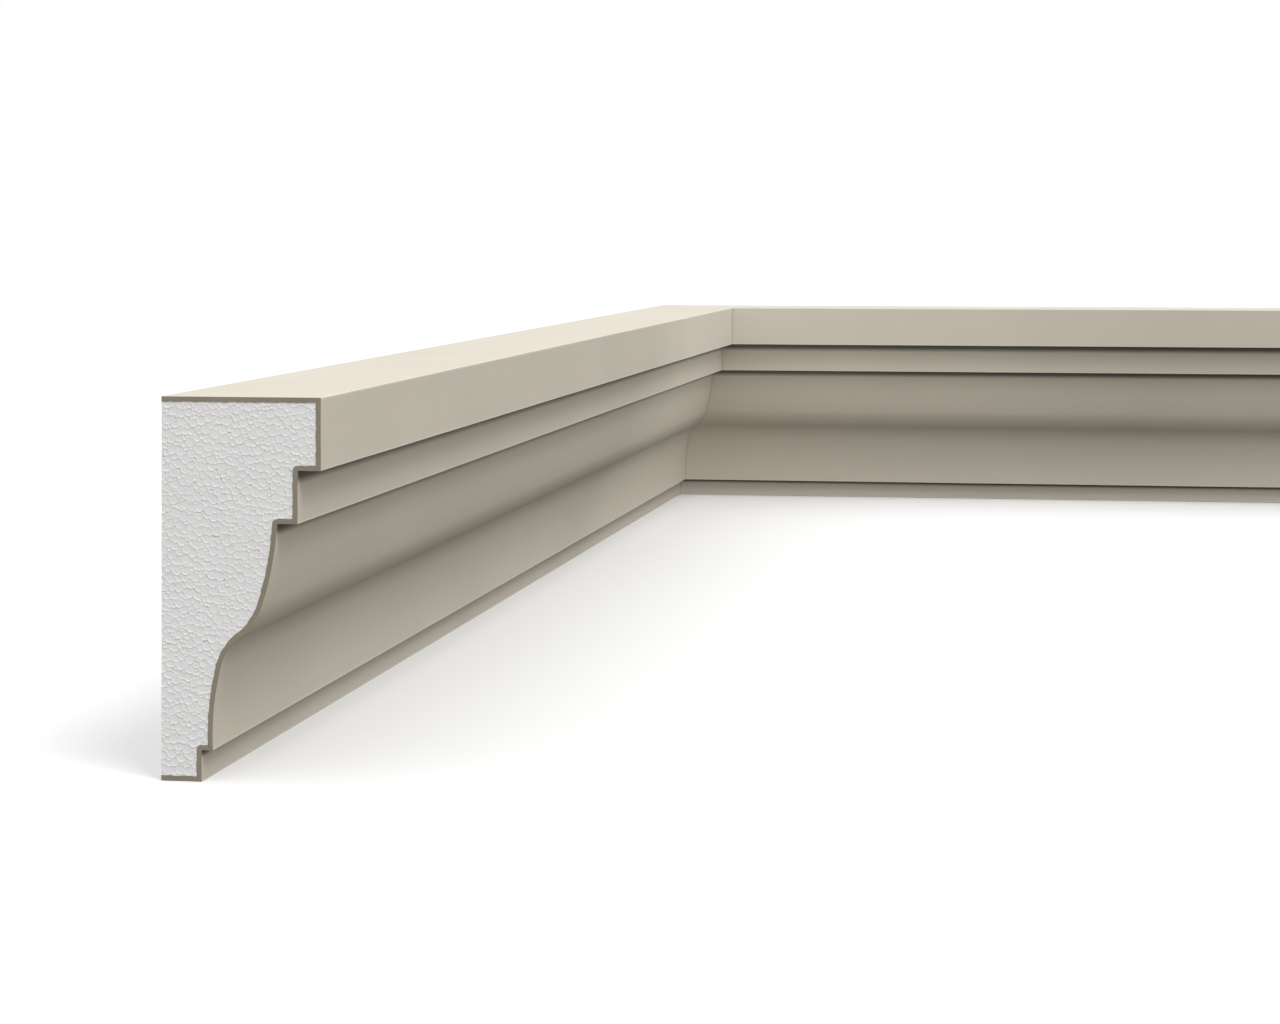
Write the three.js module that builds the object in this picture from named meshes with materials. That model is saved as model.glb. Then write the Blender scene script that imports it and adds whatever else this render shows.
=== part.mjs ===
// An inside corner of coated foam cornice moulding: two lengths of one section, mitred at a right angle.
// Each length is a white expanded-polystyrene core under a hard mineral coat. The coat covers the top, the
// moulded front and the underside. The back, which is glued on all over, and the cut ends are bare foam.
//
// Millimetres, +Z up. The moulding stands on its underside at z = 0, and the origin is the middle of the
// rectangle that it covers there. The long run lies along Y with its back facing -X, and the short run lies
// along X with its back facing +Y. Both are made from the corner of the two backs, and moved at the end.
// A section is drawn with x as the projection from the back and y as the height above the underside.

import * as THREE from "three";

// Driving dimensions, from the underside up and from the back out
const BASE_BAND_HEIGHT = 17;
const BASE_BAND_PROJECTION = 23;
const CYMA_FOOT_STEP = 6.5; // how far the foot of the cyma stands in front of the base band
const CYMA_HEIGHT = 124;
const CYMA_REACH = 36; // how far the head of the cyma stands in front of its foot
const FILLET_STEP = 11.5;
const FILLET_HEIGHT = 29;
const FASCIA_STEP = 13;
const FASCIA_HEIGHT = 40;
const COAT_THICKNESS = 3;
const BOND_GAP = 0.3; // between the coat and its core, where the real coat is bonded on
const MITRE_JOINT = 0.3; // the hairline between the two mitred faces
const LONG_RUN = 1780; // along its back, from the corner to the square cut
const SHORT_RUN = 1000;

// The cyma reversa from its head down: two arcs that swell outwards, then two that hollow inwards, each
// tangent to the one before, with sweeps in degrees. The chain is then fitted to the reach and the height.
const CYMA_ARCS = [
  { radius: 170, sweep: 15, bulges: true },
  { radius: 37, sweep: 34, bulges: true },
  { radius: 27, sweep: 38, bulges: false },
  { radius: 155, sweep: 17, bulges: false },
];
const CYMA_HEAD_LEAN = 3; // degrees that the curve already leans back from the vertical at its head
const DEGREES_PER_FACET = 2;
const CORNER_FACETS = 6; // on the rounded inner side of the coat in each re-entrant corner
const SHARP_TURN = Math.PI / 4; // an outline that turns by more than this has a corner there, not a curve

// What follows from them
const CYMA_FOOT = BASE_BAND_PROJECTION + CYMA_FOOT_STEP;
const CYMA_HEAD = CYMA_FOOT + CYMA_REACH;
const FILLET_FACE = CYMA_HEAD + FILLET_STEP;
const FASCIA_FACE = FILLET_FACE + FASCIA_STEP;
const CYMA_TOP = BASE_BAND_HEIGHT + CYMA_HEIGHT;
const FILLET_TOP = CYMA_TOP + FILLET_HEIGHT;
const HEIGHT = FILLET_TOP + FASCIA_HEIGHT;

// Points of the tangent chain of arcs, from its head at (0, 0) downwards and towards the back.
function arcChain() {
  const points = [new THREE.Vector2(0, 0)];
  let lean = THREE.MathUtils.degToRad(CYMA_HEAD_LEAN); // 0 is straight down, and more leans towards the back
  for (const { radius, sweep, bulges } of CYMA_ARCS) {
    const facets = Math.ceil(sweep / DEGREES_PER_FACET);
    const turn = THREE.MathUtils.degToRad(sweep / facets) * (bulges ? 1 : -1);
    const chord = 2 * radius * Math.sin(Math.abs(turn) / 2);
    for (let i = 0; i < facets; i++) {
      const along = lean + turn / 2;
      const step = new THREE.Vector2(-Math.sin(along), -Math.cos(along)).multiplyScalar(chord);
      points.push(points.at(-1).clone().add(step));
      lean += turn;
    }
  }
  return points;
}

// The cyma in the section: the chain scaled so that it runs exactly from its head to its foot.
function cyma() {
  const chain = arcChain();
  const end = chain.at(-1);
  return chain.map(
    (p) => new THREE.Vector2(CYMA_HEAD - (p.x / end.x) * CYMA_REACH, CYMA_TOP - (p.y / end.y) * CYMA_HEIGHT),
  );
}

// The visible outline of the moulding, from the back of its top round the front to the back of its underside.
function face() {
  return [
    new THREE.Vector2(0, HEIGHT),
    new THREE.Vector2(FASCIA_FACE, HEIGHT),
    new THREE.Vector2(FASCIA_FACE, FILLET_TOP),
    new THREE.Vector2(FILLET_FACE, FILLET_TOP),
    new THREE.Vector2(FILLET_FACE, CYMA_TOP),
    ...cyma(),
    new THREE.Vector2(BASE_BAND_PROJECTION, BASE_BAND_HEIGHT),
    new THREE.Vector2(BASE_BAND_PROJECTION, 0),
    new THREE.Vector2(0, 0),
  ];
}

// The side of a line that the foam is on, as a unit vector: to the right of the way from a to b.
function inward(a, b) {
  return new THREE.Vector2(b.y - a.y, a.x - b.x).normalize();
}

// The line at one depth behind an outline. It is mitred where the outline turns round the foam, and where the
// outline turns the other way, as under a step, it is an arc about the corner.
function behind(outline, depth) {
  const last = outline.length - 1;
  return outline.flatMap((corner, i) => {
    const before = inward(outline[Math.max(i - 1, 0)], outline[Math.max(i, 1)]);
    const after = inward(outline[Math.min(i, last - 1)], outline[Math.min(i + 1, last)]);
    const turn = Math.atan2(before.cross(after), before.dot(after));
    if (turn < SHARP_TURN) {
      const mid = before.clone().add(after).normalize();
      return [corner.clone().addScaledVector(mid, depth / mid.dot(before))];
    }
    return Array.from({ length: CORNER_FACETS + 1 }, (_, k) => {
      const spoke = before.clone().rotateAround(new THREE.Vector2(), (turn * k) / CORNER_FACETS);
      return corner.clone().addScaledVector(spoke, depth);
    });
  });
}

// A length of a section from the corner along +z (hand 1, the long run) or -z (hand -1, the short run). The
// far end is cut square. The end at the corner is cut at 45 degrees, so each point starts its own projection
// from the back further along.
function mitredLength(section, length, hand) {
  const solid = new THREE.ExtrudeGeometry(new THREE.Shape(section), { depth: length, bevelEnabled: false });
  if (hand < 0) solid.translate(0, 0, -length);
  const at = solid.attributes.position;
  for (let i = 0; i < at.count; i++) {
    const atCorner = Math.abs(at.getZ(i)) < length / 2;
    if (atCorner) at.setZ(i, hand * (at.getX(i) + MITRE_JOINT / Math.SQRT2));
  }
  return solid;
}

function coatMaterial() {
  return new THREE.MeshStandardMaterial({ color: 0xcdc6b9, roughness: 0.8, metalness: 0 });
}

function foamMaterial() {
  return new THREE.MeshStandardMaterial({ color: 0xe9e8e5, roughness: 0.9, metalness: 0 });
}

// One length of moulding: the foam core and the coat on it, as two bonded solids.
function run(name, length, hand) {
  const front = face();
  const band = [...front, ...behind(front, COAT_THICKNESS).toReversed()];
  const foam = behind(front, COAT_THICKNESS + BOND_GAP);
  const coat = new THREE.Mesh(mitredLength(band, length, hand), coatMaterial());
  const core = new THREE.Mesh(mitredLength(foam, length, hand), foamMaterial());
  coat.name = `${name}_run_coat`;
  core.name = `${name}_run_foam_core`;
  return new THREE.Group().add(core, coat);
}

function longRun() {
  const group = run("long", LONG_RUN, 1);
  group.rotation.x = Math.PI / 2; // z along the run becomes -Y, and y up the section becomes +Z
  return group;
}

function shortRun() {
  const group = run("short", SHORT_RUN, -1);
  group.rotation.set(Math.PI / 2, -Math.PI / 2, 0); // -z along the run becomes +X
  return group;
}

const cornice = new THREE.Group();
cornice.add(longRun(), shortRun());
cornice.position.set(-SHORT_RUN / 2, LONG_RUN / 2, 0);

export default cornice;
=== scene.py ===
# %% [markdown]
# This scene dresses an inside corner of cornice moulding. The real thing is two lengths of white bead
# foam, each under a hard beige coat, mitred together at a right angle. Plain solids of the same size
# come from the CAD model as a fixed frame. What is made here is measured from that frame, in metres, so
# nothing has to be fitted afterwards.

import bmesh
import bpy
import numpy as np
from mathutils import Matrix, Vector
from mathutils.geometry import delaunay_2d_cdt


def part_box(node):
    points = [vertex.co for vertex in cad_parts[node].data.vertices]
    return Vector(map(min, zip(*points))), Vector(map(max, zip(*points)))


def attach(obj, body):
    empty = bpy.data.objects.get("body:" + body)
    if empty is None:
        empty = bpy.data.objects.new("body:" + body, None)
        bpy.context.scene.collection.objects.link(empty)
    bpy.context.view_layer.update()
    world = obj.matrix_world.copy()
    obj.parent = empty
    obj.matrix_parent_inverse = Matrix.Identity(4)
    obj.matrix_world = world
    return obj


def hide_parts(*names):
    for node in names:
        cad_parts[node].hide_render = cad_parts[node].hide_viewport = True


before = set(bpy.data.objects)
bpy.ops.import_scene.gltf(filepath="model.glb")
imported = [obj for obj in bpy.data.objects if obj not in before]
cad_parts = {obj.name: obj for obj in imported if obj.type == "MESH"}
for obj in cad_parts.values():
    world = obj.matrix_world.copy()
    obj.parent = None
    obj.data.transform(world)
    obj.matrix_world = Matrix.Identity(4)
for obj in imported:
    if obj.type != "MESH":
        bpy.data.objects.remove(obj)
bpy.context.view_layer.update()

# %% [markdown]
# Both lengths have a flat back, and start where the two backs meet. Their shapes are simplest when they
# are told in distances from there: how far out from the back, how far along it and how high. One function
# then puts those three numbers in the frame, and everything else is made once for both lengths.

# %% The planes of the backs, and the two runs
MM = 0.001
BACK_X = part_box("long_run_coat")[0].x
BACK_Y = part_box("short_run_coat")[1].y
RUN_LENGTH = {
    "long": (BACK_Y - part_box("long_run_coat")[0].y) / MM,
    "short": (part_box("short_run_coat")[1].x - BACK_X) / MM,
}
HALF_JOINT = (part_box("short_run_coat")[0].x - BACK_X) / MM


def placed(run, out, along, up):
    """Points of a run in the frame, from millimetres out from its back, along it and up."""
    if run == "long":
        return np.stack([BACK_X + out * MM, BACK_Y - along * MM, up * MM], axis=-1)
    return np.stack([BACK_X + along * MM, BACK_Y - out * MM, up * MM], axis=-1)


print("run lengths, mm:", {run: round(length, 1) for run, length in RUN_LENGTH.items()})

# %% [markdown]
# The picture to match was made with the camera level, which keeps every upright line upright. To show
# what lies below the horizon such a camera isn't tilted but shifted, as an architect's lens is. Its place
# and its focal length come from the vanishing points of the two lengths of moulding.

# %% The camera
PICTURE = (1280, 1024)
HORIZON_ROW = 218.7  # pixels from the picture's top
FOCAL_PIXELS = 3046.9
CAMERA_OUT = 526.8  # millimetres out from the long run's back
CAMERA_ALONG = 3379.9  # millimetres out from the short run's back
CAMERA_UP = 306.8
CAMERA_TURN = np.radians(9.296)  # to the left of the long run's direction
SENSOR = 36.0

camera_data = bpy.data.cameras.new("camera")
camera_data.sensor_width = SENSOR
camera_data.lens = FOCAL_PIXELS / PICTURE[0] * SENSOR
camera_data.shift_y = (HORIZON_ROW - PICTURE[1] / 2) / PICTURE[0]
camera = bpy.data.objects.new("camera", camera_data)
camera.location = placed("long", CAMERA_OUT, CAMERA_ALONG, CAMERA_UP)
camera.rotation_euler = (np.pi / 2, 0, CAMERA_TURN)
bpy.context.scene.collection.objects.link(camera)
bpy.context.scene.camera = camera
print("camera at", np.round(camera.location, 3).tolist(), "lens", round(camera_data.lens, 1), "mm")

# %% [markdown]
# The section is what a cornice is: one outline that never changes along its run. This one steps back
# from a tall fascia to a fillet, then falls in an S curve, the cyma reversa, to a small base band. The
# curve could be a hand-placed spline, but a joiner draws it with a compass, so here it is a chain of
# four arcs, each tangent to the one before.

# %% The outline of the face
BASE_FACE, BASE_TOP = 23, 17
CYMA_FOOT = BASE_FACE + 6.5
CYMA_HEAD, CYMA_TOP = CYMA_FOOT + 36, BASE_TOP + 124
FILLET_FACE, FILLET_TOP = CYMA_HEAD + 11.5, CYMA_TOP + 29
FASCIA_FACE, FASCIA_TOP = FILLET_FACE + 13, FILLET_TOP + 40
CYMA_ARCS = [(170, 15), (37, 34), (27, -38), (155, -17)]  # radius and turn, the swelling arcs first
CYMA_HEAD_LEAN = 3
DEGREES_PER_STEP = 1.0


def cyma():
    """The S curve from its head down, as rows of (out, up).

    Each short step turns by an equal share of its arc. The running sum of the turns is each step's lean
    from the vertical, the running sum of the steps is the curve, and the whole is stretched a little to
    reach exactly from the head to the foot."""
    counts = [round(abs(turn) / DEGREES_PER_STEP) for _, turn in CYMA_ARCS]
    radius = np.repeat([r for r, _ in CYMA_ARCS], counts)
    turns = np.radians(np.repeat([turn / n for (_, turn), n in zip(CYMA_ARCS, counts)], counts))
    lean = np.radians(CYMA_HEAD_LEAN) + np.cumsum(turns) - turns / 2
    chord = 2 * radius * np.sin(abs(turns) / 2)
    steps = -chord[:, None] * np.column_stack([np.sin(lean), np.cos(lean)])
    curve = np.vstack([[0, 0], np.cumsum(steps, axis=0)])
    size = np.array([CYMA_HEAD - CYMA_FOOT, CYMA_TOP - BASE_TOP])
    return curve / abs(curve[-1]) * size + [CYMA_HEAD, CYMA_TOP]


FACE = np.vstack(
    [
        (0, FASCIA_TOP),
        (FASCIA_FACE, FASCIA_TOP),
        (FASCIA_FACE, FILLET_TOP),
        (FILLET_FACE, FILLET_TOP),
        (FILLET_FACE, CYMA_TOP),
        cyma(),
        (BASE_FACE, BASE_TOP),
        (BASE_FACE, 0),
        (0, 0),
    ]
)
print("face outline:", len(FACE), "points, mm", FACE.min(0).tolist(), "to", FACE.max(0).tolist())

# %% [markdown]
# The coat has two lines: the face that shows and the line where it grips the foam, three millimetres
# behind. No real arris is a perfect edge, so each outer corner of the face is a tiny arc, which also
# catches a thread of light. In a hollow corner it is the other way round: the outside is nearly sharp,
# and the foam side is an arc as wide as the coat is thick, as the cut end of the real one shows.

# %% The two lines of the coat
COAT = 3.0
ARRIS_RADIUS = 0.5
HOLLOW_RADIUS = 0.5
ARC_POINTS = 6
SHARP = np.radians(45)


def coat_lines(face, depth):
    """The outer and the foam-side line of the coat, point for point, and which face points are corners.

    Every point has a spoke, the inward normal of the face there, and at a corner the spokes fan out from
    the normal before it to the normal after it. An arc on the outside is its centre plus or minus the
    spokes. The foam side lies one depth along the spokes, or at an outer arris where the offsets cross."""
    way = np.diff(face, axis=0)
    way /= np.linalg.norm(way, axis=1, keepdims=True)
    inward = np.column_stack([way[:, 1], -way[:, 0]])
    before, after = np.vstack([inward[:1], inward]), np.vstack([inward, inward[-1:]])
    cross = before[:, 0] * after[:, 1] - before[:, 1] * after[:, 0]
    turn = np.arctan2(cross, (before * after).sum(axis=1))
    copies = np.where(abs(turn) > SHARP, ARC_POINTS, 1)
    at = np.repeat(np.arange(len(face)), copies)
    number = np.arange(len(at)) - np.repeat(np.cumsum(copies) - copies, copies)
    angle = turn[at] * np.where(copies[at] > 1, number / (ARC_POINTS - 1), 0.5)
    cos, sin = np.cos(angle), np.sin(angle)
    spoke = np.column_stack(
        [before[at, 0] * cos - before[at, 1] * sin, before[at, 0] * sin + before[at, 1] * cos]
    )
    cornering = (before + after)[at] / (1 + (before * after).sum(axis=1))[at, None]
    arris, hollow = (turn < -SHARP)[at], (turn > SHARP)[at]
    bend = np.where(arris, -ARRIS_RADIUS, np.where(hollow, HOLLOW_RADIUS, 0))[:, None]
    outer = face[at] + bend * (spoke - cornering)
    inner = face[at] + depth * np.where(hollow[:, None], spoke, cornering)
    return outer, inner, np.flatnonzero(turn < -SHARP), np.flatnonzero(turn > SHARP)


OUTER, INNER, arrises, hollows = coat_lines(FACE, COAT)
LEDGES = np.linalg.norm(FACE[hollows] - FACE[hollows - 1], axis=1)
print("coat lines:", len(OUTER), "pairs of points,", len(arrises), "arrises, ledges of", LEDGES, "mm")

# %% [markdown]
# A core is cut from a block with a hot wire, which jumps a little from bead to bead, so the line between
# the two wanders. That could be a random walk, but a few sine waves of unrelated lengths are simpler and
# give the same line every time. Both lines are first cut into short steps, always in pairs. The points of
# the face are then marked for painted light: a painted highlight within a hair of an arris, and painted
# shade in the hollow under a ledge, further down where the ledge is deeper.

# %% The wandering line between coat and foam
LONGEST_STEP = 1.4
WANDER = 0.3  # the most that the line strays
WAVES = [(4.1, 0.4), (5.7, 2.1), (8.9, 4.4), (14.0, 1.3)]  # length in millimetres, and phase
HIGHLIGHT_REACH = 0.9  # how far from an arris its painted highlight goes
SHADE_FULL, SHADE_END = 0.27, 0.58  # where the painted shade starts to thin and where it ends, in parts of the ledge


def divided(corners, longest):
    """The same line with each straight stretch cut into equal steps no longer than longest."""
    counts = np.ceil(np.linalg.norm(np.diff(corners, axis=0), axis=1) / longest).astype(int)
    start = np.repeat(np.arange(len(counts)), counts)
    share = (np.arange(counts.sum()) - np.repeat(np.cumsum(counts) - counts, counts)) / counts[start]
    return np.vstack([corners[start] + share[:, None] * np.diff(corners, axis=0)[start], corners[-1:]])


def wavering(points):
    """The points shifted sideways by waves of their height and upwards by waves of their distance out."""
    shift = [np.sin(2 * np.pi * points[:, ::-1] / length + phase) for length, phase in WAVES]
    return points + WANDER * np.mean(shift, axis=0)


OUTER, INNER = np.split(divided(np.hstack([OUTER, INNER]), LONGEST_STEP), 2, axis=1)
INNER = wavering(INNER)
INNER[[0, -1], 0] = 0  # these two lie on the back, and stay on it
from_arris = np.linalg.norm(OUTER[:, None] - FACE[arrises], axis=2).min(axis=1)
from_hollow = (np.linalg.norm(OUTER[:, None] - FACE[hollows], axis=2) / LEDGES).min(axis=1)
# a painted highlight within a hair of each outer arris
ARRIS_HIGHLIGHT = (from_arris < HIGHLIGHT_REACH).astype(float)
# painted shade in the hollow under each ledge, reaching further down under a deeper ledge
HOLLOW_SHADE = np.clip((SHADE_END - from_hollow) / (SHADE_END - SHADE_FULL), 0, 1)
print("divided:", len(OUTER), "pairs,", int(ARRIS_HIGHLIGHT.sum()), "with_painted_highlight pale,", (HOLLOW_SHADE > 0).sum(), "in_painted_shade")

# %% [markdown]
# Each coat is the ring of those two lines carried along the run. The first ring follows the mitre: at 45
# degrees a point starts as far along as it stands out from the back. Right at both cuts the ring is set
# back by a hair, which gives the mitre its fine V groove and the square end a broken edge. In between, a
# wave too low to see by itself keeps the highlights from being ruler straight. The arrays hold all the
# rings at once, and the faces are found by counting.

# %% Carrying a ring along a run
MITRE_BEVEL = 0.45  # how far the face is set back at the mitre, and over what length
END_BEVEL = 0.2  # the same at the square cut
RING_SPACING = 50.0
WAVE_HEIGHT = 0.05
WAVE_LENGTHS = (145.0, 446.0)
MERGE_DISTANCE = 0.001  # points nearer than this become one
CREASE = np.radians(50)  # faces that meet at more than this are shaded apart


def make_object(name, points, faces, materials, material_of_face, attributes):
    """A mesh object from arrays, with doubled points merged and faces turned outwards.

    attributes maps a name to one number for each point, which the materials can read."""
    mesh = bpy.data.meshes.new(name)
    mesh.from_pydata(points.tolist(), [], [list(face) for face in faces])
    mesh.polygons.foreach_set("material_index", material_of_face)
    for key, values in attributes.items():
        mesh.attributes.new(key, "FLOAT", "POINT").data.foreach_set("value", values.astype(np.float32))
    work = bmesh.new()
    work.from_mesh(mesh)
    bmesh.ops.remove_doubles(work, verts=work.verts, dist=MERGE_DISTANCE * MM)
    bmesh.ops.recalc_face_normals(work, faces=work.faces)
    work.to_mesh(mesh)
    work.free()
    mesh.polygons.foreach_set("use_smooth", np.ones(len(mesh.polygons), bool))
    mesh.set_sharp_from_angle(angle=CREASE)
    for material in materials:
        mesh.materials.append(material)
    piece = bpy.data.objects.new(name, mesh)
    bpy.context.scene.collection.objects.link(piece)
    return piece


def coat_arrays(length):
    """Out, along and up of every point of one coat, as arrays of rings by points, and its faces.

    share runs from 0 on the mitre to 1 on the square cut. A point at share t lies along the run at
    (1 - t) times its place on the mitre plus t times the length. Between the cuts the face is set back by
    the wave's height times one plus the product of two sines of the place along the run."""
    middle = np.linspace(0, 1, int(length / RING_SPACING))[1:-1]
    share = np.concatenate([[0, MITRE_BEVEL / length], middle, [1 - END_BEVEL / length, 1]])
    inset = np.zeros(len(share))
    inset[0], inset[-1] = MITRE_BEVEL, END_BEVEL
    short_wave, long_wave = (np.sin(2 * np.pi * share * length / wave) for wave in WAVE_LENGTHS)
    inset[1:-1] = WAVE_HEIGHT * (1 + short_wave * long_wave)[1:-1]
    spoke = (INNER - OUTER) / np.linalg.norm(INNER - OUTER, axis=1, keepdims=True)
    faces_out = OUTER[None] + inset[:, None, None] * spoke[None]
    foam_side = np.broadcast_to(INNER[::-1], faces_out.shape)
    section = np.concatenate([faces_out, foam_side], axis=1)
    section[..., 0] = np.maximum(section[..., 0], 0)
    along = (1 - share)[:, None] * (section[..., 0] + HALF_JOINT) + share[:, None] * length
    rings, around = section.shape[:2]
    k, half = np.arange(around), np.arange(around // 2 - 1)
    band = np.column_stack([k, (k + 1) % around, (k + 1) % around + around, k + around])
    sides = [band + around * ring for ring in range(rings - 1)]
    cap = np.column_stack([half, half + 1, around - 2 - half, around - 1 - half])
    faces = np.vstack(sides + [cap, cap + around * (rings - 1)])
    is_cap = np.arange(len(faces)) >= len(faces) - 2 * len(cap)
    return section[..., 0], along, section[..., 1], faces, is_cap.astype(int)


print("long coat, rings by points:", coat_arrays(RUN_LENGTH["long"])[0].shape)

# %% [markdown]
# The foam shows where it is cut. It is made of beads, blown up by steam in a mould until they pressed
# against each other. The wire drags the skin of each bead down a little, so each is a shallow dish with a
# lip, highest along its lower edge, and most seem to lie over the one below. A plain Voronoi pattern
# would give straight-sided cells of one size. Here discs of mixed sizes are thrown at the section first,
# and a point goes to the highest disc that reaches it, give or take, so the lower edges stay round. A
# bump in a material could suggest the lips, but they catch the light on the near end, so they are real.

# %% Beads in a cut face
BEAD_RADII = (0.8, 2.4)
FEW_LARGE = 3.2  # the power that makes large beads rarer than small ones
OVERLAP = 0.9
THROWS = 24000
BEYOND = 3.0  # how far outside the section discs are thrown too, so that its edges are filled
REACH = 0.3  # how far a bead goes past its disc
LIP_HEIGHT = 0.3
LIP_WIDTH = 0.45
LEAST_LIP = 0.4  # what is left of the lip along the top of a bead
SHUFFLE = 2.5  # a bead may lie over one whose centre is this much higher
DISH_DEPTH = 0.1
POCKET_DEPTH = 0.15
POCKET_SIZES = (0.45, 1.0)  # how far beyond every disc a pocket starts, and where it is at its deepest
LOWEST_LIP = 0.55  # as a share of the highest
RIVALS = 3  # how many discs are compared at each point
CHUNK = 4096  # how many points are worked on at once, to save memory


def thrown_discs(width, height, random):
    """Centres and radii of discs thrown at the section at random, the largest first.

    A disc stays if it overlaps none of those that are there already by more than a little."""
    small, large = BEAD_RADII
    radii = small + (large - small) * np.sort(random.random(THROWS) ** FEW_LARGE)[::-1]
    places = random.uniform([-BEYOND, -BEYOND], [width + BEYOND, height + BEYOND], (THROWS, 2))
    centres, sizes, count = np.zeros((THROWS, 2)), np.zeros(THROWS), 0
    for place, radius in zip(places, radii):
        distance = np.linalg.norm(centres[:count] - place, axis=1)
        if (distance > OVERLAP * (sizes[:count] + radius)).all():
            centres[count], sizes[count] = place, radius
            count += 1
    return centres[:count], sizes[:count]


def nearest_discs(points, centres, radii):
    """The three discs whose edges each point is least beyond, in order, and how far it is beyond them."""
    which, beyond = [], []
    for part in np.array_split(points, len(points) // CHUNK + 1):
        distance = np.linalg.norm(part[:, None] - centres[None], axis=2) - radii
        few = np.argpartition(distance, RIVALS, axis=1)[:, :RIVALS]
        value = np.take_along_axis(distance, few, axis=1)
        order = np.argsort(value, axis=1)
        which.append(np.take_along_axis(few, order, axis=1))
        beyond.append(np.take_along_axis(value, order, axis=1))
    return np.vstack(which), np.vstack(beyond)


def bead_relief(points, seed):
    """How deep the cut face lies under its plane at each point, in millimetres, how much of a lip each
    point is and how much of a pocket.

    A disc reaches a little past its edge. Of the discs that reach it, a point goes to the one whose centre
    is highest, with some chance added to each height, and where none does it goes to the nearest. The lip
    is a bell curve of the distance to that edge, times a share that is 1 straight below the disc's centre
    and least straight above it. A point far beyond even the nearest disc lies in a pocket."""
    random = np.random.default_rng(seed)
    centres, radii = thrown_discs(FASCIA_FACE, FASCIA_TOP, random)
    dish, lip_height, lift = random.random((3, len(centres)))
    order = centres[:, 1] + SHUFFLE * lift
    places = wavering(points)
    which, beyond = nearest_discs(places, centres, radii)
    first = np.where(beyond < REACH, order[which], -np.inf).argmax(axis=1)[:, None]
    own = np.take_along_axis(which, first, axis=1)[:, 0]
    to_edge = REACH - np.take_along_axis(beyond, first, axis=1)[:, 0]
    spoke = places - centres[own]
    lowness = 0.5 - 0.5 * spoke[:, 1] / np.linalg.norm(spoke, axis=1)
    lip = np.exp(-((to_edge / LIP_WIDTH) ** 2)) * (LEAST_LIP + (1 - LEAST_LIP) * lowness)
    start, full = POCKET_SIZES
    pocket = np.clip((beyond[:, 0] - start) / (full - start), 0, 1)
    height = lip * (LOWEST_LIP + (1 - LOWEST_LIP) * lip_height[own])
    depth = LIP_HEIGHT * (1 - height) + DISH_DEPTH * dish[own] * (1 - lip) + POCKET_DEPTH * pocket
    return depth, lip, pocket


# %% [markdown]
# The relief needs points less than half a millimetre apart, spread evenly to the very edge of an awkward
# outline. A grid would have to be squeezed to fit the steps. Instead an even lattice of points fills the
# outline, and Blender's Delaunay routine joins them and the edge into triangles.

# %% A fine mesh over the section
LATTICE = 0.4
EDGE_STEP = 0.5
EDGE_CLEARANCE = 0.22
SAME_PLACE = 1e-6  # points nearer than this are one


def foam_outline():
    """The foam's edge as a closed loop: down the foam side of the coat, then up the back."""
    loop = np.vstack([INNER, INNER[:1]])
    moved = np.linalg.norm(np.diff(loop, axis=0), axis=1) > SAME_PLACE
    return divided(loop[np.concatenate([[True], moved])], EDGE_STEP)[:-1]


def section_mesh(edge):
    """Points and triangles over the section. The edge's own points come first, in their order.

    The foam's width at a height is read off its edge, and a lattice point is kept if it lies inside that
    width at its own height and just above and below it. The routine fills the hollows of the outline
    too, and tells for each triangle whether it comes from the outline, so the others are dropped."""
    x, y = np.meshgrid(
        np.arange(LATTICE, FASCIA_FACE, LATTICE),
        np.arange(COAT, FASCIA_TOP - COAT, LATTICE * np.sqrt(3) / 2),
    )
    x = x + (np.arange(len(x)) % 2)[:, None] * LATTICE / 2
    front = edge[edge[:, 0] > 0]
    widths = [
        np.interp(y + shift, front[::-1, 1], front[::-1, 0])
        for shift in (-EDGE_CLEARANCE, 0, EDGE_CLEARANCE)
    ]
    low, high = edge[:, 1].min() + EDGE_CLEARANCE, edge[:, 1].max() - EDGE_CLEARANCE
    inside = (x < np.min(widths, axis=0) - EDGE_CLEARANCE) & (y > low) & (y < high)
    points = np.vstack([edge, np.column_stack([x[inside], y[inside]])])
    outline = list(range(len(edge)))[::-1]
    made = delaunay_2d_cdt(points.tolist(), [], [outline], 0, SAME_PLACE, True)
    assert len(made[0]) == len(points)
    return points, np.array([triangle for triangle, source in zip(made[2], made[5]) if source])


EDGE = foam_outline()
SECTION, SECTION_FACES = section_mesh(EDGE)
print("section mesh:", len(SECTION), "points,", len(SECTION_FACES), "triangles,", len(EDGE), "on the edge")

# %% [markdown]
# Rough, matte finishes are easy to make too clean. Each finish here starts from one plain colour, and
# small node groups add what age and making leave: slow changes of tone, and grain that can only be seen
# close up. Both the wire that cuts the foam and the template that spreads the coat move level, so the same
# slow tone, with its level directions squeezed, also gives the faint streaks that they leave. A group is
# built once, takes its sizes as inputs, and is placed in each material that needs it.

# %% Node helpers and the shared groups
def add_node(tree, kind, values=None, **settings):
    """A node with its settings, and values for its input sockets by name or number."""
    node = tree.nodes.new(kind)
    for key, value in settings.items():
        setattr(node, key, value)
    for key, value in (values or {}).items():
        node.inputs[key].default_value = value
    return node


def make_group(name, inputs, outputs):
    """An empty node group with named number sockets, and its input and output nodes."""
    tree = bpy.data.node_groups.new(name, "ShaderNodeTree")
    number = "NodeSocketFloat"
    for socket, value in inputs.items():
        tree.interface.new_socket(socket, in_out="INPUT", socket_type=number).default_value = value
    for socket in outputs:
        tree.interface.new_socket(socket, in_out="OUTPUT", socket_type=number)
    return tree, tree.nodes.new("NodeGroupInput"), tree.nodes.new("NodeGroupOutput")


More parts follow.
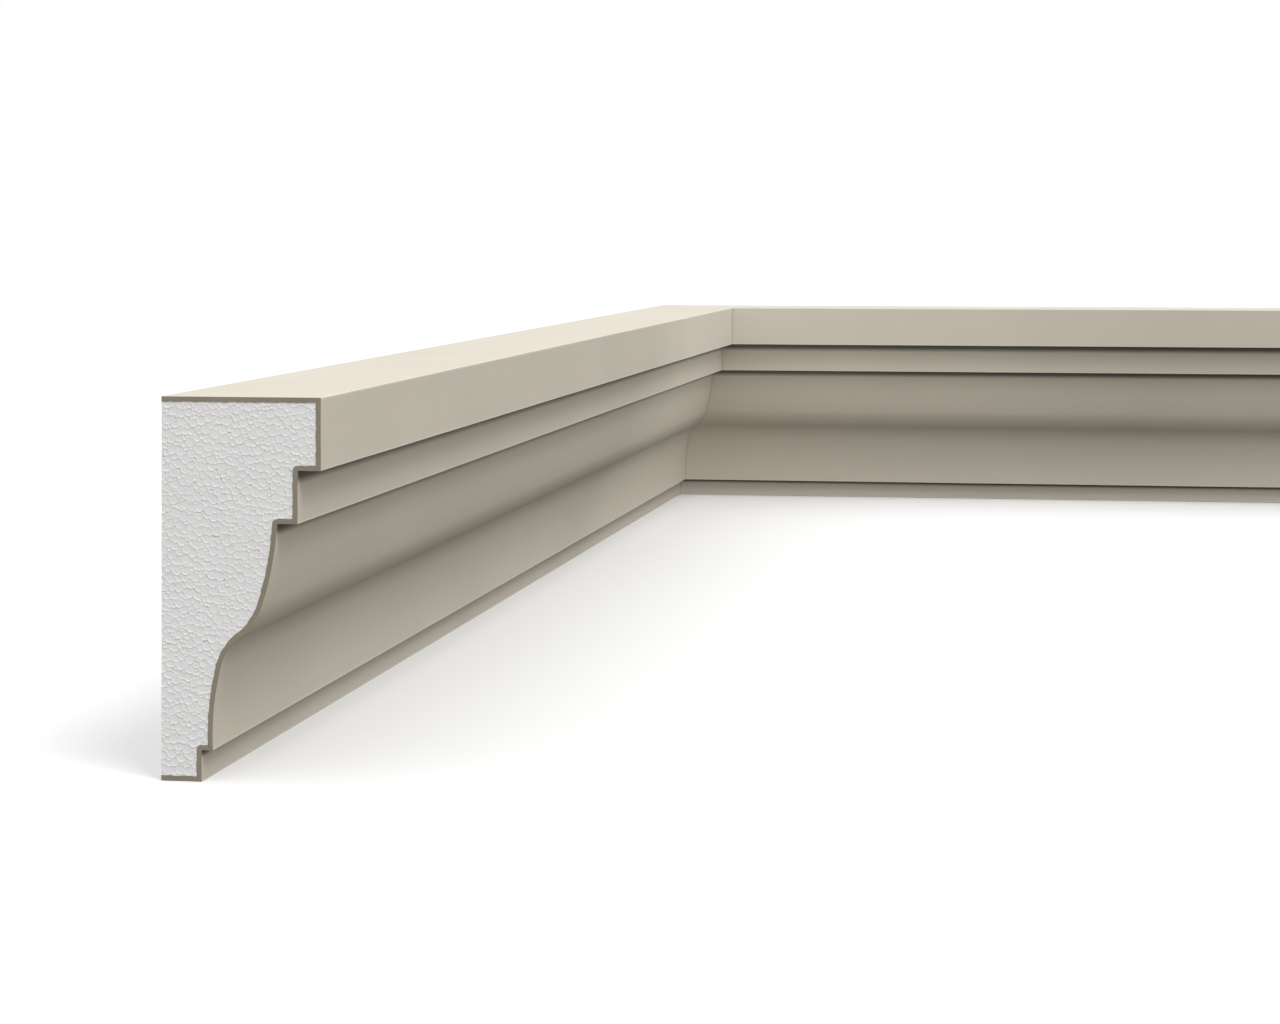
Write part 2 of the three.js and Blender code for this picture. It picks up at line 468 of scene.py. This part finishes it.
def slow_tone_group():
    """Slow clouds of tone: two octaves of noise, mapped to run from 1 - Amount to 1 + Amount.

    Level scale multiplies the two level coordinates. At 1 the clouds are as long as they are high, and
    near 0 they are drawn out into level streaks."""
    sizes = {"Patches per metre": 6, "Amount": 0.03, "Level scale": 1}
    tree, given, result = make_group("slow_tone", sizes, ["Factor"])
    place = add_node(tree, "ShaderNodeTexCoord")
    squeeze = add_node(tree, "ShaderNodeCombineXYZ", {"Z": 1})
    squeezed = add_node(tree, "ShaderNodeVectorMath", operation="MULTIPLY")
    noise = add_node(tree, "ShaderNodeTexNoise", {"Detail": 2, "Roughness": 0.6})
    less = add_node(tree, "ShaderNodeMath", {0: 1.0}, operation="SUBTRACT")
    more = add_node(tree, "ShaderNodeMath", {0: 1.0}, operation="ADD")
    spread = add_node(tree, "ShaderNodeMapRange", {"From Min": 0.3, "From Max": 0.7})
    tree.links.new(given.outputs["Level scale"], squeeze.inputs["X"])
    tree.links.new(given.outputs["Level scale"], squeeze.inputs["Y"])
    tree.links.new(place.outputs["Object"], squeezed.inputs[0])
    tree.links.new(squeeze.outputs["Vector"], squeezed.inputs[1])
    tree.links.new(squeezed.outputs["Vector"], noise.inputs["Vector"])
    tree.links.new(given.outputs["Patches per metre"], noise.inputs["Scale"])
    tree.links.new(given.outputs["Amount"], less.inputs[1])
    tree.links.new(given.outputs["Amount"], more.inputs[1])
    tree.links.new(noise.outputs["Fac"], spread.inputs["Value"])
    tree.links.new(less.outputs[0], spread.inputs["To Min"])
    tree.links.new(more.outputs[0], spread.inputs["To Max"])
    tree.links.new(spread.outputs["Result"], result.inputs["Factor"])
    return tree


PINHOLE_CELLS = 170  # per metre; the pinhole share says how many of them have a hole
PINHOLE_EDGE = (0.04, 0.1)  # where a hole's edge starts and ends, in parts of a cell


def grain_group():
    """Mineral grain: fine noise for sand, and a sparse scatter of round pinholes, both as heights."""
    sizes = {"Grains per metre": 1600, "Pinhole share": 0.1}
    tree, given, result = make_group("mineral_grain", sizes, ["Height", "Pinhole"])
    place = add_node(tree, "ShaderNodeTexCoord")
    sand = add_node(tree, "ShaderNodeTexNoise", {"Detail": 3, "Roughness": 0.7})
    cells = add_node(tree, "ShaderNodeTexVoronoi", {"Scale": PINHOLE_CELLS, "Randomness": 1.0})
    inner, outer = PINHOLE_EDGE
    hole = add_node(
        tree,
        "ShaderNodeMapRange",
        {"From Min": inner, "From Max": outer, "To Min": 1, "To Max": 0},
    )
    split = add_node(tree, "ShaderNodeSeparateColor")
    chosen = add_node(tree, "ShaderNodeMath", operation="LESS_THAN")
    holes = add_node(tree, "ShaderNodeMath", operation="MULTIPLY")
    height = add_node(tree, "ShaderNodeMath", operation="SUBTRACT")
    tree.links.new(place.outputs["Object"], sand.inputs["Vector"])
    tree.links.new(place.outputs["Object"], cells.inputs["Vector"])
    tree.links.new(given.outputs["Grains per metre"], sand.inputs["Scale"])
    tree.links.new(cells.outputs["Distance"], hole.inputs["Value"])
    tree.links.new(cells.outputs["Color"], split.inputs["Color"])
    tree.links.new(split.outputs["Red"], chosen.inputs[0])
    tree.links.new(given.outputs["Pinhole share"], chosen.inputs[1])
    tree.links.new(hole.outputs["Result"], holes.inputs[0])
    tree.links.new(chosen.outputs[0], holes.inputs[1])
    tree.links.new(sand.outputs["Fac"], height.inputs[0])
    tree.links.new(holes.outputs[0], height.inputs[1])
    tree.links.new(height.outputs[0], result.inputs["Height"])
    tree.links.new(holes.outputs[0], result.inputs["Pinhole"])
    return tree


SLOW_TONE = slow_tone_group()
GRAIN = grain_group()
print("node groups:", [tree.name for tree in bpy.data.node_groups])

# %% [markdown]
# The coat is a mineral paste with sand in it, drawn smooth and left matte. Its colour is a warm grey
# beige. On the outer arrises a painted highlight makes it a touch paler, and in the hollows under the
# ledges and in its pinholes painted shade darkens it. Where the end was sawn, the fresh inside of the
# coat is much darker and rougher than its face.

# %% The finishes of the coat
def placed_group(tree, group, **values):
    """A node that holds a group, with values for its inputs. An underscore in a name stands for a space."""
    node = tree.nodes.new("ShaderNodeGroup")
    node.node_tree = group
    for key, value in values.items():
        node.inputs[key.replace("_", " ")].default_value = value
    return node


def matte_material(name, colour, roughness, specular):
    """A principled material with plain values on its sockets, and its tree and shader for more nodes."""
    material = bpy.data.materials.new(name)
    material.use_nodes = True
    tree = material.node_tree
    shader = tree.nodes["Principled BSDF"]
    shader.inputs["Base Color"].default_value = (*colour, 1)
    shader.inputs["Roughness"].default_value = roughness
    shader.inputs["Specular IOR Level"].default_value = specular
    return material, tree, shader


def tinted(tree, base, other, factor):
    """A colour that goes from base to other as factor goes from 0 to 1."""
    mix = add_node(tree, "ShaderNodeMix", data_type="RGBA")
    for socket, colour in (("A", base), ("B", other)):
        slot = [s for s in mix.inputs if s.name == socket and s.type == "RGBA"][0]
        if isinstance(colour, bpy.types.NodeSocket):
            tree.links.new(colour, slot)
        else:
            slot.default_value = (*colour, 1)
    tree.links.new(factor, [s for s in mix.inputs if s.name == "Factor" and s.type == "VALUE"][0])
    return [s for s in mix.outputs if s.type == "RGBA"][0]


def dimmed(tree, colour, factor):
    """A colour with its value multiplied by factor."""
    node = add_node(tree, "ShaderNodeHueSaturation")
    tree.links.new(colour, node.inputs["Color"])
    tree.links.new(factor, node.inputs["Value"])
    return node.outputs["Color"]


def bumped(tree, shader, height, distance, strength):
    """Feeds a height, in parts of distance, to the shader's normal."""
    bump = add_node(tree, "ShaderNodeBump", {"Strength": strength, "Distance": distance})
    tree.links.new(height, bump.inputs["Height"])
    tree.links.new(bump.outputs["Normal"], shader.inputs["Normal"])


COAT_COLOUR = (0.590, 0.548, 0.468)
# a painted highlight for the outer arrises
COAT_PAINTED_HIGHLIGHT = (0.690, 0.646, 0.570)
# painted shade for the hollows under the ledges
COAT_PAINTED_SHADE = (0.170, 0.161, 0.146)
# painted shade in the pinholes of the face
COAT_PINHOLE_SHADE = (0.420, 0.380, 0.315)
SAWN_COLOUR = (0.285, 0.252, 0.200)
# painted shade in the pinholes of the sawn edge
SAWN_PINHOLE_SHADE = (0.215, 0.188, 0.146)


def coat_face():
    """The face: its colour, then over it a painted highlight on the arrises and painted shade in the
    hollows and the pinholes, then streaks and slow tone.
    """
    material, tree, shader = matte_material("coat_face", COAT_COLOUR, roughness=0.82, specular=0.3)
    tone = placed_group(tree, SLOW_TONE, Patches_per_metre=5, Amount=0.025)
    streaks = placed_group(tree, SLOW_TONE, Patches_per_metre=110, Amount=0.008, Level_scale=0.03)
    grain = placed_group(tree, GRAIN, Grains_per_metre=1500, Pinhole_share=0.02)
    painted_highlight = add_node(tree, "ShaderNodeAttribute", attribute_name="painted_highlight")
    painted_shade = add_node(tree, "ShaderNodeAttribute", attribute_name="painted_shade")
    # a painted highlight on the outer arrises
    colour = tinted(tree, COAT_COLOUR, COAT_PAINTED_HIGHLIGHT, painted_highlight.outputs["Fac"])
    # painted shade in the hollows under the ledges
    colour = tinted(tree, colour, COAT_PAINTED_SHADE, painted_shade.outputs["Fac"])
    # painted shade in the pinholes
    colour = tinted(tree, colour, COAT_PINHOLE_SHADE, grain.outputs["Pinhole"])
    colour = dimmed(tree, colour, streaks.outputs["Factor"])
    tree.links.new(dimmed(tree, colour, tone.outputs["Factor"]), shader.inputs["Base Color"])
    bumped(tree, shader, grain.outputs["Height"], distance=0.08 * MM, strength=1.0)
    return material


def coat_sawn():
    """The sawn edge of the coat, with more pinholes, darkened with painted shade, and a coarser grain."""
    material, tree, shader = matte_material("coat_sawn", SAWN_COLOUR, roughness=0.95, specular=0.2)
    tone = placed_group(tree, SLOW_TONE, Patches_per_metre=60, Amount=0.05)
    grain = placed_group(tree, GRAIN, Grains_per_metre=1100, Pinhole_share=0.25)
    # painted shade in the pinholes
    colour = tinted(tree, SAWN_COLOUR, SAWN_PINHOLE_SHADE, grain.outputs["Pinhole"])
    tree.links.new(dimmed(tree, colour, tone.outputs["Factor"]), shader.inputs["Base Color"])
    bumped(tree, shader, grain.outputs["Height"], distance=0.25 * MM, strength=1.0)
    return material


COAT_MATERIALS = [coat_face(), coat_sawn()]
print("coat materials:", [material.name for material in COAT_MATERIALS])

# %% [markdown]
# Bead foam is whiter than paper in the hand, because light wanders through its cells before it comes out.
# A little subsurface scattering gives it that softness. On the cut ends the lips are in the mesh, so the
# material only warms them slightly, a painted highlight strongest on their lower edges, and it darkens
# the pockets between the beads with painted shade. The long backs would need millions of faces for the
# same relief, so there the beads are a Voronoi pattern, cut through in three dimensions, with rims as a
# bump and in the lips' warm tint.

# %% The finishes of the foam
FOAM_COLOUR = (0.834, 0.846, 0.864)
# a warm painted highlight on the lips of the cut ends; on the backs the same tint marks the bead rims
FOAM_RIM_AND_HIGHLIGHT = (0.850, 0.834, 0.804)
# painted shade in the pockets between beads
FOAM_POCKET_SHADE = (0.740, 0.730, 0.715)
BEADS_PER_METRE = 265
RIM_SHARE = 0.14  # how wide a rim is, in parts of a cell


def foam_material(name):
    """What the cut ends and the backs of the foam have in common."""
    material, tree, shader = matte_material(name, FOAM_COLOUR, roughness=0.9, specular=0.25)
    shader.inputs["Subsurface Weight"].default_value = 0.15
    shader.inputs["Subsurface Radius"].default_value = (1.0, 1.0, 1.0)
    shader.inputs["Subsurface Scale"].default_value = 1.2 * MM
    return material, tree, shader


def foam_cut():
    """The cut ends, where the lips of the mesh get a warm painted highlight and the pockets painted shade.
    """
    material, tree, shader = foam_material("foam_cut")
    tone = placed_group(tree, SLOW_TONE, Patches_per_metre=40, Amount=0.012)
    lip = add_node(tree, "ShaderNodeAttribute", attribute_name="lip")
    pocket = add_node(tree, "ShaderNodeAttribute", attribute_name="pocket")
    # a warm painted highlight on the lips, strongest on their lower edges
    colour = tinted(tree, FOAM_COLOUR, FOAM_RIM_AND_HIGHLIGHT, lip.outputs["Fac"])
    # painted shade in the pockets
    colour = tinted(tree, colour, FOAM_POCKET_SHADE, pocket.outputs["Fac"])
    tree.links.new(dimmed(tree, colour, tone.outputs["Factor"]), shader.inputs["Base Color"])
    return material


def foam_back():
    """The long cut faces, where a rim is a smooth step of the distance to the edge of a Voronoi cell."""
    material, tree, shader = foam_material("foam_back")
    tone = placed_group(tree, SLOW_TONE, Patches_per_metre=8, Amount=0.02)
    streaks = placed_group(tree, SLOW_TONE, Patches_per_metre=70, Amount=0.018, Level_scale=0.03)
    place = add_node(tree, "ShaderNodeTexCoord")
    cells = add_node(
        tree,
        "ShaderNodeTexVoronoi",
        {"Scale": BEADS_PER_METRE, "Randomness": 0.9},
        feature="DISTANCE_TO_EDGE",
    )
    rim = add_node(
        tree,
        "ShaderNodeMapRange",
        {"From Max": RIM_SHARE, "To Min": 1, "To Max": 0},
        interpolation_type="SMOOTHSTEP",
    )
    tree.links.new(place.outputs["Object"], cells.inputs["Vector"])
    tree.links.new(cells.outputs["Distance"], rim.inputs["Value"])
    colour = tinted(tree, FOAM_COLOUR, FOAM_RIM_AND_HIGHLIGHT, rim.outputs["Result"])
    colour = dimmed(tree, colour, streaks.outputs["Factor"])
    tree.links.new(dimmed(tree, colour, tone.outputs["Factor"]), shader.inputs["Base Color"])
    bumped(tree, shader, rim.outputs["Result"], distance=0.3 * MM, strength=0.8)
    return material


FOAM_MATERIALS = [foam_cut(), foam_back()]
print("foam materials:", [material.name for material in FOAM_MATERIALS])

# %% [markdown]
# Now the pieces themselves. Both coats and both cores come from the same two functions, called once for
# each run, and each stands for its plain solid in the frame. The two cut ends have beads of their own, so
# no pattern is seen twice.

# %% Make the coats
def make_coat(run):
    """One coat, with a painted highlight and painted shade on its face and neither on the side that is
    bonded to the foam.
    """
    out, along, up, faces, is_cap = coat_arrays(RUN_LENGTH[run])
    hidden = np.zeros(len(ARRIS_HIGHLIGHT))
    # the painted highlight and the painted shade lie on the face only, none on the side bonded to the foam
    painted_highlight = np.tile(np.concatenate([ARRIS_HIGHLIGHT, hidden]), len(out))
    painted_shade = np.tile(np.concatenate([HOLLOW_SHADE, hidden]), len(out))
    points = placed(run, out, along, up).reshape(-1, 3)
    coat = make_object(f"{run}_coat", points, faces, COAT_MATERIALS, is_cap, {"painted_highlight": painted_highlight, "painted_shade": painted_shade})
    weighted = coat.modifiers.new("flat faces stay flat", "WEIGHTED_NORMAL")
    weighted.keep_sharp = True
    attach(coat, "root")
    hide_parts(f"{run}_run_coat")
    return coat


for run in RUN_LENGTH:
    print(make_coat(run).name, "made")

# %% Make the foam cores
BEAD_SEED = {"long": 11, "short": 29}


def make_core(run):
    """The fine section on the square cut, the plain edge loop on the mitre, and quads between them."""
    depth, lip, pocket = bead_relief(SECTION, BEAD_SEED[run])
    edge_count = len(EDGE)
    out = np.concatenate([SECTION[:, 0], EDGE[:, 0]])
    up = np.concatenate([SECTION[:, 1], EDGE[:, 1]])
    along = np.concatenate([RUN_LENGTH[run] - depth, EDGE[:, 0] + HALF_JOINT])
    k = np.arange(edge_count)
    after = np.roll(k, -1)
    far = k + len(SECTION)
    sides = np.column_stack([k, after, np.roll(far, -1), far])
    faces = [*SECTION_FACES.tolist(), *sides.tolist(), far.tolist()]
    is_plain = np.arange(len(faces)) >= len(SECTION_FACES)
    still = np.zeros(edge_count)
    core = make_object(
        f"{run}_foam",
        placed(run, out, along, up),
        faces,
        FOAM_MATERIALS,
        is_plain.astype(int),
        {"lip": np.concatenate([lip, still]), "pocket": np.concatenate([pocket, still])},
    )
    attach(core, "root")
    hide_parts(f"{run}_run_foam_core")
    return core


for run in RUN_LENGTH:
    core = make_core(run)
    print(core.name, "made,", len(core.data.polygons), "faces")

# %% [markdown]
# The light is an overcast sky: a white dome does most of the work and, with the painted shade in the
# hollows of the coat, makes the soft dark lines under the steps. A veiled sun, high over the open side of
# the corner, lifts the top and leaves the fillet in the fascia's shadow, and a faint spot lightens the far
# corner. The floor is pale to the eye. A pale floor would also throw light up into the hollow of the
# curve, which should stay dark, so to every ray but the camera's it is a dull, slightly warm grey. White
# foam looks grey in plain shade, so a low second sun from behind lights the backs. It is level with the
# floor, and reaches nothing that faces the front.

# %% Floor and light
FLOOR_SIZE = 60.0
FLOOR_SEEN = (0.86, 0.86, 0.86)
FLOOR_BOUNCE = (0.182, 0.170, 0.146)
SKY = 1.0
SUN_FROM = Vector((1.12, -0.91, 2.06))
SUN_STRENGTH = 1.36
SUN_ANGLE = np.radians(28)
BACK_SUN_FROM = Vector((-1.0, 0.75, 0.0))
BACK_SUN_STRENGTH = 1.5
SPOT_PLACE = (1500, 1600, 200)  # millimetres out from the long run's back, along it and up
SPOT_FROM = Vector((1, -1, 0.03))
SPOT_CONE = np.radians(22)
SPOT_POWER = 26.0
SPOT_RADIUS = 0.15


def make_floor():
    """A wide square that is pale to the camera and dull to every other ray."""
    half = FLOOR_SIZE / 2
    corners = [(-half, -half, 0), (half, -half, 0), (half, half, 0), (-half, half, 0)]
    mesh = bpy.data.meshes.new("floor")
    mesh.from_pydata(corners, [], [(0, 1, 2, 3)])
    material = bpy.data.materials.new("pale_floor")
    material.use_nodes = True
    tree = material.node_tree
    tree.nodes.remove(tree.nodes["Principled BSDF"])
    seen = add_node(tree, "ShaderNodeBsdfDiffuse", {"Color": (*FLOOR_SEEN, 1)})
    bounce = add_node(tree, "ShaderNodeBsdfDiffuse", {"Color": (*FLOOR_BOUNCE, 1)})
    ray = add_node(tree, "ShaderNodeLightPath")
    mix = add_node(tree, "ShaderNodeMixShader")
    tree.links.new(ray.outputs["Is Camera Ray"], mix.inputs["Fac"])
    tree.links.new(bounce.outputs["BSDF"], mix.inputs[1])
    tree.links.new(seen.outputs["BSDF"], mix.inputs[2])
    tree.links.new(mix.outputs["Shader"], tree.nodes["Material Output"].inputs["Surface"])
    mesh.materials.append(material)
    floor = bpy.data.objects.new("floor", mesh)
    bpy.context.scene.collection.objects.link(floor)


def make_sun(name, place, strength):
    """A soft sun that shines from the direction of place."""
    sun_data = bpy.data.lights.new(name, "SUN")
    sun_data.energy = strength
    sun_data.angle = SUN_ANGLE
    sun = bpy.data.objects.new(name, sun_data)
    sun.rotation_euler = place.to_track_quat("Z", "Y").to_euler()
    bpy.context.scene.collection.objects.link(sun)


def make_light():
    """The sky, both suns and the spot."""
    world = bpy.data.worlds.new("sky")
    world.use_nodes = True
    world.node_tree.nodes["Background"].inputs["Color"].default_value = (1, 1, 1, 1)
    world.node_tree.nodes["Background"].inputs["Strength"].default_value = SKY
    bpy.context.scene.world = world
    make_sun("veiled_sun", SUN_FROM, SUN_STRENGTH)
    make_sun("back_sun", BACK_SUN_FROM, BACK_SUN_STRENGTH)
    spot_data = bpy.data.lights.new("corner_spot", "SPOT")
    spot_data.energy = SPOT_POWER
    spot_data.spot_size = SPOT_CONE
    spot_data.spot_blend = 1
    spot_data.shadow_soft_size = SPOT_RADIUS
    spot = bpy.data.objects.new("corner_spot", spot_data)
    spot.location = placed("long", *SPOT_PLACE)
    spot.rotation_euler = SPOT_FROM.to_track_quat("Z", "Y").to_euler()
    spot.visible_camera = False
    bpy.context.scene.collection.objects.link(spot)


make_floor()
make_light()
bpy.context.scene.view_settings.view_transform = "Standard"
print("lights:", [light.name for light in bpy.data.lights])
